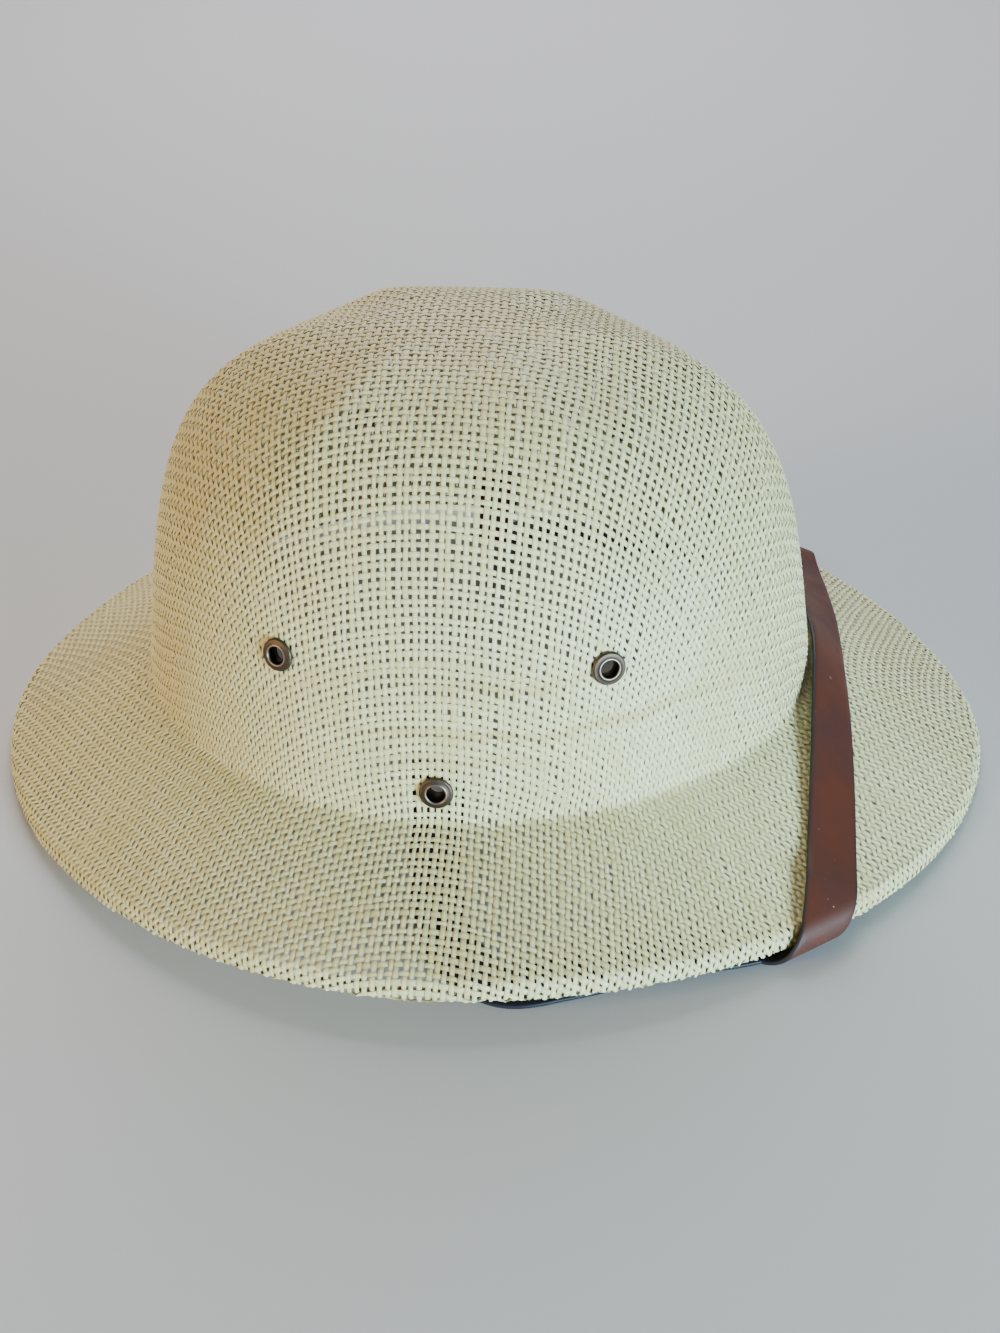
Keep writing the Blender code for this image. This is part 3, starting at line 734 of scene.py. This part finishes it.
def vinyl_group():
    """Strap vinyl: red brown with a leather grain on its face, near black on its back and edges, with
    a few pale specks."""
    tree, start, end = new_group("strap_vinyl", {
        "Place": None, "Face": 1.0, "Border": 0.0,
        "Brown": (0.085, 0.023, 0.012, 1.0), "Back": (0.012, 0.012, 0.018, 1.0),
        "Speck": (0.55, 0.48, 0.40, 1.0)})
    link = tree.links.new
    cloud = noise(tree, start.outputs["Place"], 55.0, 3.0, 0.5)
    grain = add(tree, "ShaderNodeTexVoronoi", feature="F1")
    grain.inputs["Scale"].default_value = 1500.0
    link(start.outputs["Place"], grain.inputs["Vector"])
    dust = noise(tree, start.outputs["Place"], 900.0, 2.0, 0.5)
    darker = ramp(tree, cloud, 0.3, 0.75, 0.0, 0.35)
    brown = mixed(tree, darker, start.outputs["Brown"], start.outputs["Back"])
    wear_and_crease_shade = math(tree, "MULTIPLY", ramp(tree, start.outputs["Border"], 0.80, 1.0), 0.55)
    brown = mixed(tree, wear_and_crease_shade, brown, start.outputs["Back"])
    face = mixed(tree, start.outputs["Face"], start.outputs["Back"], brown)
    specks = math(tree, "MULTIPLY", ramp(tree, dust, 0.74, 0.80), 0.6)
    link(mixed(tree, specks, face, start.outputs["Speck"]), end.inputs["Color"])
    link(ramp(tree, cloud, 0.2, 0.8, 0.44, 0.58), end.inputs["Roughness"])
    swell = math(tree, "MULTIPLY", cloud, 0.6)
    link(math(tree, "ADD", grain.outputs["Distance"], swell), end.inputs["Height"])
    return tree


def make_material(name, group_tree, attributes, strength, distance, plain):
    """A material whose colour, roughness and relief come from a group that reads Object coordinates
    and the attributes given, with plain values set on the shader's own sockets."""
    made, shader = new_material(name)
    tree, link = made.node_tree, made.node_tree.links.new
    group = add(tree, "ShaderNodeGroup", node_tree=group_tree)
    place = add(tree, "ShaderNodeTexCoord")
    link(place.outputs["Object"], group.inputs["Place"])
    for label, attribute, output in attributes:
        read = add(tree, "ShaderNodeAttribute", attribute_name=attribute)
        link(read.outputs[output], group.inputs[label])
    bump = add(tree, "ShaderNodeBump")
    bump.inputs["Strength"].default_value = strength
    bump.inputs["Distance"].default_value = distance
    link(group.outputs["Height"], bump.inputs["Height"])
    link(bump.outputs["Normal"], shader.inputs["Normal"])
    link(group.outputs["Color"], shader.inputs["Base Color"])
    link(group.outputs["Roughness"], shader.inputs["Roughness"])
    for socket, value in plain.items():
        shader.inputs[socket].default_value = value
    return made


STRAW = make_material(
    "paper_straw", straw_group(),
    (("Strand", "strand", "Vector"), ("Tone", "tone", "Fac"), ("Painted_Shade_Share", "inner", "Fac")),
    0.25, 0.0002, {"Sheen Weight": 0.15, "Sheen Roughness": 0.5})
BRASS = make_material(
    "antique_brass", brass_group(), (("Rub_And_Throat_Shade", "rub_and_throat_shade", "Fac"),),
    0.20, 0.0001, {"Metallic": 1.0})
VINYL = make_material(
    "strap_vinyl", vinyl_group(), (("Face", "face", "Fac"), ("Border", "border", "Fac")),
    0.18, 0.00015, {"Specular IOR Level": 0.28})


# Eyelets

def turned(profile, sides):
    """A closed profile of radius and height turned about Z: radius times cosine and sine, height."""
    angle = 2.0 * np.pi * np.arange(sides) / sides
    radius, height = profile[:, :1], profile[:, 1:2] + 0.0 * angle
    points = np.stack([radius * np.cos(angle), radius * np.sin(angle), height], -1).reshape(-1, 3)
    row, k = np.meshgrid(np.arange(len(profile)), np.arange(sides), indexing="ij")
    row, k = row.ravel(), k.ravel()
    following, after = (row + 1) % len(profile), (k + 1) % sides
    here, next_row = row * sides, following * sides
    return points, np.stack([here + k, here + after, next_row + after, next_row + k], 1)


def eyelet_profile(grip):
    """Radius, height and rub of one eyelet's section, the rub below zero where the throat is painted
    near black as painted shade: a barrel, a clinch behind, and a domed flange in front whose outer
    edge is rolled down and whose throat turns into the barrel."""
    hole = EYELET_HOLE_RADIUS
    barrel = hole + EYELET_BARREL
    flange = EYELET_FLANGE_RADIUS
    seat = 0.25 * SEAT_GAP
    top = SEAT_GAP + EYELET_DOME
    back = -grip - SEAT_GAP
    clinch = EYELET_CLINCH_RADIUS
    rows = [
        (hole, back + 0.2 * EYELET_CLINCH, 0.1),
        (hole + 0.15 * EYELET_BARREL, back - 0.55 * EYELET_CLINCH, 0.3),
        (hole + 0.8 * EYELET_BARREL, back - EYELET_CLINCH, 0.5),
        (clinch - 0.9 * EYELET_CLINCH, back - EYELET_CLINCH, 0.4),
        (clinch - 0.25 * EYELET_CLINCH, back - 0.65 * EYELET_CLINCH, 0.5),
        (clinch, back - 0.1 * EYELET_CLINCH, 0.3),
        (barrel, back, 0.0),
        (barrel, seat, 0.0),
        (flange - 0.1 * EYELET_DOME, seat, 0.0),
    ]
    for turn in np.radians((0, 22, 45, 68, 90)):
        rows.append((flange - 0.55 * EYELET_DOME * (1.0 - np.cos(turn)),
                     seat + (0.12 + 0.72 * np.sin(turn)) * EYELET_DOME,
                     0.05 + 0.2 * np.sin(turn)))
    rows += [
        (flange - 0.95 * EYELET_DOME, seat + 0.86 * EYELET_DOME, 0.1),
        (hole + 2.4 * EYELET_BARREL, top - 0.16 * EYELET_DOME, 0.1),
        (hole + 1.9 * EYELET_BARREL, top - 0.03 * EYELET_DOME, 0.9),
        (hole + 1.4 * EYELET_BARREL, top, 1.1),
        (hole + 1.0 * EYELET_BARREL, top - 0.10 * EYELET_DOME, 0.9),
        (hole + 0.7 * EYELET_BARREL, top - 0.30 * EYELET_DOME, 0.0),
        # Painted shade: the throat's rows are painted near black
        (hole + 0.3 * EYELET_BARREL, top - 0.8 * EYELET_DOME, -1.0),
        (hole, top - 1.5 * EYELET_DOME, -1.0),
    ]
    return np.array(rows)


def make_eyelets():
    sides = 48
    for name, row, here, normal, up_it in EYELET_PLACES:
        grip = strap_seat() + STRAP_THICKNESS if row == "low" else WALL + SEAT_GAP
        profile = eyelet_profile(grip)
        points, faces = turned(profile[:, :2], sides)
        aside = np.cross(up_it, normal)
        points = here + points[:, :1] * aside + points[:, 1:2] * up_it + points[:, 2:] * normal
        item = build_mesh(name + "_dressed", points, faces, {"rub_and_throat_shade": np.repeat(profile[:, 2], sides)})
        item.data.materials.append(BRASS)
        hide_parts(name)
        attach(item, "root")


# Chin strap

def facing(turn, azimuth):
    """Unit vector turned from straight up towards a level azimuth, both in degrees."""
    turn, azimuth = np.radians(turn), np.radians(azimuth)
    return np.array([np.sin(turn) * np.cos(azimuth), np.sin(turn) * np.sin(azimuth), np.cos(turn)])


def over_row(share, drift, turn, azimuth, last):
    """A place of the strap on top of the brim, just clear of the straw all across its width."""
    half = 0.5 * STRAP_WIDTH
    lean = np.radians(STRAP_LEAN)
    leaning_at = 0.3 * STRAP_WIDTH / (TOP_HEIGHT - CREASE_HEIGHT)
    wall = crown_point(np.array(0.0), np.array(leaning_at))[0]
    front = wall + SEAT_GAP + half * np.cos(lean) + 0.5 * STRAP_THICKNESS * np.sin(lean)
    x, y = front + drift * (last[0] - front), share * last[1]
    normal = facing(turn, azimuth)
    across = np.array([np.sqrt(1.0 - normal[0] ** 2), 0.0, -normal[0]])
    places = np.linspace(-half, half, 7)
    need = [brim_height(x + place * across[0], y) - place * across[2] for place in places]
    height = max(need) + (SEAT_GAP + 0.5 * STRAP_THICKNESS) / normal[2]
    return np.array([x, y, height, turn, azimuth])


def strap_wrap():
    """The strap's stretch round the brim's edge: a quarter oval over the turned-down edge, then one
    from outside the edge to the surface, with sections that run along the edge."""
    at = -np.radians(WRAP_ANGLE)
    edge = polar(edge_radius(at), at, edge_height(at))
    step = 1e-4
    along = unit(polar(edge_radius(at + step), at + step, 0.0) - polar(edge_radius(at), at, 0.0))
    out = np.array([along[1], -along[0], 0.0])
    azimuth = np.degrees(np.arctan2(out[1], out[0]))
    clear = WRAP_GAP + 0.5 * STRAP_THICKNESS
    floor = STRAP_TABLE_GAP + 0.5 * STRAP_THICKNESS
    flat = []
    for turn in np.radians(WRAP_TURNS):
        way = np.array([np.sin(turn), np.cos(turn)])
        if way[1] >= 0.0:
            axes = np.array([RIM_REACH, RIM_DROP - WRAP_START]) + clear
            middle = np.array([-RIM_REACH, edge[2] + WRAP_START])
        else:
            axes = np.array([WRAP_REACH, edge[2] + WRAP_START - floor])
            middle = np.array([clear - WRAP_REACH, edge[2] + WRAP_START])
        flat.append(middle + axes ** 2 * way / np.linalg.norm(axes * way))
    flat = np.array(flat)
    gone = np.concatenate([[0.0], np.cumsum(np.linalg.norm(np.diff(flat, axis=0), axis=1))])
    gone -= gone[WRAP_TURNS.index(90)]
    centres = edge + flat[:, :1] * out - WRAP_DRIFT * gone[:, None] * along
    centres[:, 2] = flat[:, 1]
    normals = np.array([facing(turn, azimuth) for turn in WRAP_TURNS])
    room = 0.6 * STRAP_WIDTH * WRAP_DRIFT / np.hypot(1.0, WRAP_DRIFT)
    ends = []
    for k, sign in ((0, -1.0), (-1, 1.0)):
        onward = np.cross(along, normals[k]) - WRAP_DRIFT * along
        ends.append(np.array([*(centres[k] + sign * room * onward), WRAP_TURNS[k], azimuth]))
    return ends[0], centres, normals, along, ends[1]


def strap_seat():
    """How far inside the crown's outside the low eyelet holds the strap."""
    angle, share = -np.radians(EYELETS[-1][1]), EYELETS[-1][2]
    here, normal, _ = crown_frame(angle, share)
    turn = 0.5 * STRAP_WIDTH / crease_radius(angle)
    beside = [crown_point(np.array(angle + k * turn), np.array(share)) for k in (-1, 1)]
    return WALL + 2.0 * SEAT_GAP + max(float((here - place) @ normal) for place in beside)


def under_rows(wrap_end):
    """The strap under the brim, from its wrap to its end inside the crown."""
    floor = STRAP_TABLE_GAP + 0.5 * STRAP_THICKNESS
    rows = [wrap_end]
    for degrees, share, height, turn in STRAP_UNDER:
        angle = -np.radians(degrees)
        radius = crease_radius(angle) + share * (edge_radius(angle) - crease_radius(angle))
        place = polar(radius, angle, floor if height is None else height)
        rows.append(np.array([*place, turn, -degrees]))
    here, normal, up_it = crown_frame(-np.radians(EYELETS[-1][1]), EYELETS[-1][2])
    seat = here - (strap_seat() + 0.5 * STRAP_THICKNESS) * normal
    wall_turn = 360.0 - np.degrees(np.arccos(-normal[2]))
    wall_azimuth = np.degrees(np.arctan2(normal[1], normal[0]))
    for rise in (-0.5 * STRAP_WIDTH, 0.0, STRAP_END):
        rows.append(np.array([*(seat + rise * up_it), wall_turn, wall_azimuth]))
    return rows


def spline(rows):
    """A Catmull-Rom curve through the rows from the second to the last but one."""
    rows = np.array(rows)
    t = (np.arange(STRAP_STEPS) / STRAP_STEPS)[:, None]
    a, b, c, d = (rows[k:len(rows) - 3 + k, None] for k in range(4))
    found = 0.5 * (2 * b + (c - a) * t + (2 * a - 5 * b + 4 * c - d) * t ** 2
                   + (3 * b - a - 3 * c + d) * t ** 3)
    return np.concatenate([found.reshape(-1, rows.shape[1]), rows[-2:-1]])


def square_sections(line, before=None, after=None):
    """Both borders and the normal of a band along a line of rows."""
    first = 2 * line[0, :3] - line[1, :3] if before is None else before
    last = 2 * line[-1, :3] - line[-2, :3] if after is None else after
    centre = np.concatenate([[first], line[:, :3], [last]])
    tangent = unit(centre[2:] - centre[:-2])
    normal = np.array([facing(turn, azimuth) for turn, azimuth in line[:, 3:]])
    normal = unit(normal - tangent * (normal * tangent).sum(1, keepdims=True))
    across = np.cross(normal, tangent) * 0.5 * STRAP_WIDTH
    return np.stack([line[:, :3] - across, line[:, :3] + across, normal], 1)


def strap_sections():
    """Sections of the strap from the middle of the front to its end on the right side, each with
    its back border, front border and normal."""
    mirror = np.array([1, -1, 1, 1, -1])
    wrap_start, centres, normals, along, wrap_end = strap_wrap()
    over = [over_row(*row, wrap_start) for row in STRAP_OVER]
    over = [over[1] * mirror] + over + [wrap_start]
    over.append(np.array([*centres[0], *wrap_start[3:]]))
    over_line = spline(over)
    top = square_sections(over_line, over_line[1, :3] * mirror[:3], centres[0])
    slant = along * 0.5 * STRAP_WIDTH * np.hypot(1.0, WRAP_DRIFT)
    round_edge = np.stack([centres - slant, centres + slant, normals], 1)
    under = [np.array([*centres[-1], *wrap_end[3:]])] + under_rows(wrap_end)
    under.append(2 * under[-1] - under[-2])
    below = square_sections(spline(under), centres[-1])
    return np.concatenate([top, round_edge, below])


def strap_profile():
    """The strap's rounded section: share across from -1 to 1, share through, whether it is on the
    face, and how near it is to a border."""
    face = [(s, 1.0, 1.0, abs(s)) for s in np.linspace(-0.93, 0.93, 9)]
    front = [(0.975, 0.80, 0.35, 1.0), (1.0, 0.25, 0.0, 1.0)]
    front += [(1.0, -0.35, 0.0, 1.0), (0.975, -0.85, 0.0, 1.0)]
    back = [(s, -1.0, 0.0, abs(s)) for s in np.linspace(0.92, -0.92, 5)]
    rear = [(-s, t, f, b) for s, t, f, b in reversed(front)]
    return np.array(face + front + back + rear)


def pierce(item):
    """Cuts the holes for the low eyelets' barrels through the strap's ends, with upright rods whose
    rings are a radius times cosine and sine across each eyelet's way through."""
    sides = 32
    angle = 2.0 * np.pi * np.arange(sides) / sides
    radius = EYELET_HOLE_RADIUS + EYELET_BARREL + FIT_GAP
    reach = 3.0 * (WALL + STRAP_THICKNESS)
    for name, row, here, normal, up_it in EYELET_PLACES:
        if row != "low":
            continue
        aside = np.cross(up_it, normal)
        ring = here + radius * (np.cos(angle)[:, None] * aside + np.sin(angle)[:, None] * up_it)
        points = np.concatenate([ring - reach * normal, ring + reach * normal])
        faces = [(k, (k + 1) % sides, sides + (k + 1) % sides, sides + k) for k in range(sides)]
        faces += [tuple(range(sides))[::-1], tuple(range(sides, 2 * sides))]
        mesh = bpy.data.meshes.new("rod")
        mesh.from_pydata(points.tolist(), [], faces)
        rod = bpy.data.objects.new("rod", mesh)
        bpy.context.scene.collection.objects.link(rod)
        hole = item.modifiers.new("hole", "BOOLEAN")
        hole.operation = "DIFFERENCE"
        hole.solver = "EXACT"
        hole.object = rod
        graph = bpy.context.evaluated_depsgraph_get()
        item.data = bpy.data.meshes.new_from_object(item.evaluated_get(graph), depsgraph=graph)
        item.modifiers.clear()
        bpy.data.objects.remove(rod)


def make_strap():
    """The strap's rounded section carried along its sections: each corner is the middle, plus its
    share across times half the way between borders, plus its share through times half the
    thickness along the normal."""
    right = strap_sections()
    left = right[:0:-1] * np.array([1, -1, 1])
    sections = np.concatenate([left, right])
    middle = 0.5 * (sections[:, 0] + sections[:, 1])
    arm = 0.5 * (sections[:, 1] - sections[:, 0])
    profile = strap_profile()
    points = (middle[:, None] + arm[:, None] * profile[:, 0][:, None]
              + sections[:, None, 2] * (0.5 * STRAP_THICKNESS * profile[:, 1])[:, None])
    rows, sides = points.shape[:2]
    row, k = np.meshgrid(np.arange(rows - 1), np.arange(sides), indexing="ij")
    row, k = row.ravel(), k.ravel()
    after = (k + 1) % sides
    here, next_row = row * sides, (row + 1) * sides
    faces = np.stack([here + k, next_row + k, next_row + after, here + after], 1)
    # Each end is closed by strips between matching corners of its face and its back
    k = np.arange(sides // 2 - 1)
    cap = np.stack([k, k + 1, sides - 2 - k, sides - 1 - k], 1)
    ends = np.concatenate([cap, (rows - 1) * sides + cap[:, ::-1]])
    values = {"face": np.tile(profile[:, 2], rows), "border": np.tile(profile[:, 3], rows)}
    item = build_mesh("chin_strap_dressed", points.reshape(-1, 3), np.concatenate([faces, ends]), values)
    pierce(item)
    item.data.set_sharp_from_angle(angle=np.radians(STRAP_SHARP))
    item.data.materials.append(VINYL)
    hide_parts("chin_strap")
    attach(item, "root")


# Stage

def make_floor():
    """One flat square of floor."""
    reach = 4.0
    points = reach * np.array([[-1.0, -1.0, 0.0], [1.0, -1.0, 0.0], [1.0, 1.0, 0.0], [-1.0, 1.0, 0.0]])
    floor = build_mesh("floor", points, np.array([[0, 1, 2, 3]]))
    made, shader = new_material("pale_floor")
    shader.inputs["Base Color"].default_value = (0.50, 0.50, 0.50, 1.0)
    shader.inputs["Roughness"].default_value = 0.7
    floor.data.materials.append(made)


def add_light(name, place, target, size, power, colour):
    data = bpy.data.lights.new(name, "AREA")
    data.shape = "DISK"
    data.size = size
    data.energy = power
    data.color = colour
    item = bpy.data.objects.new(name, data)
    item.location = place
    item.rotation_mode = "QUATERNION"
    item.rotation_quaternion = (Vector(target) - Vector(place)).to_track_quat("-Z", "Y")
    bpy.context.scene.collection.objects.link(item)


def make_lights():
    heart = (0.0, 0.0, 0.06)
    add_light("window", (1.00, -1.10, 0.12), heart, 0.7, 98.0, (0.53, 0.81, 1.0))
    add_light("sky", (-0.15, 1.25, 1.25), heart, 1.5, 36.0, (0.94, 0.94, 1.0))
    add_light("lamp", (-1.15, -0.80, 0.50), heart, 0.6, 17.0, (1.0, 0.78, 0.46))
    world = bpy.data.worlds.new("pale_room")
    world.use_nodes = True
    world.node_tree.nodes["Background"].inputs["Color"].default_value = (1.0, 0.95, 0.84, 1.0)
    world.node_tree.nodes["Background"].inputs["Strength"].default_value = 0.14
    bpy.context.scene.world = world


def make_camera():
    data = bpy.data.cameras.new("camera")
    data.lens = CAMERA_LENS
    data.sensor_width = 36.0
    data.clip_start = 0.01
    data.clip_end = 50.0
    item = bpy.data.objects.new("camera", data)
    bpy.context.scene.collection.objects.link(item)
    azimuth, elevation = np.radians(CAMERA_AZIMUTH), np.radians(CAMERA_ELEVATION)
    level_way = np.array([np.sin(azimuth), -np.cos(azimuth), 0.0])
    back = np.cos(elevation) * level_way + np.array([0.0, 0.0, np.sin(elevation)])
    right = unit(np.cross(-back, [0.0, 0.0, 1.0]))
    up = np.cross(right, -back)
    roll = np.radians(CAMERA_ROLL)
    level = np.cos(roll) * right + np.sin(roll) * up
    upright = -np.sin(roll) * right + np.cos(roll) * up
    turn = Matrix([level, upright, back]).transposed().to_4x4()
    place = np.array(CAMERA_TARGET) + CAMERA_DISTANCE * back
    item.matrix_world = Matrix.Translation(place) @ turn
    bpy.context.scene.camera = item


def make_weave():
    reach = COUNT - 1
    groups = (
        ("near", range(-reach, -STRANDS_MIDDLE)),
        ("middle", range(-STRANDS_MIDDLE, STRANDS_MIDDLE + 1)),
        ("far", range(STRANDS_MIDDLE + 1, reach + 1)),
    )
    for way, lengthwise in (("lengthwise", True), ("crosswise", False)):
        for k, (label, numbers) in enumerate(groups):
            make_yarns(f"straw_{way}_{label}", lengthwise, numbers, 20 + 10 * lengthwise + k)


make_camera()
make_lights()
make_floor()
make_weave()
make_eyelets()
make_strap()
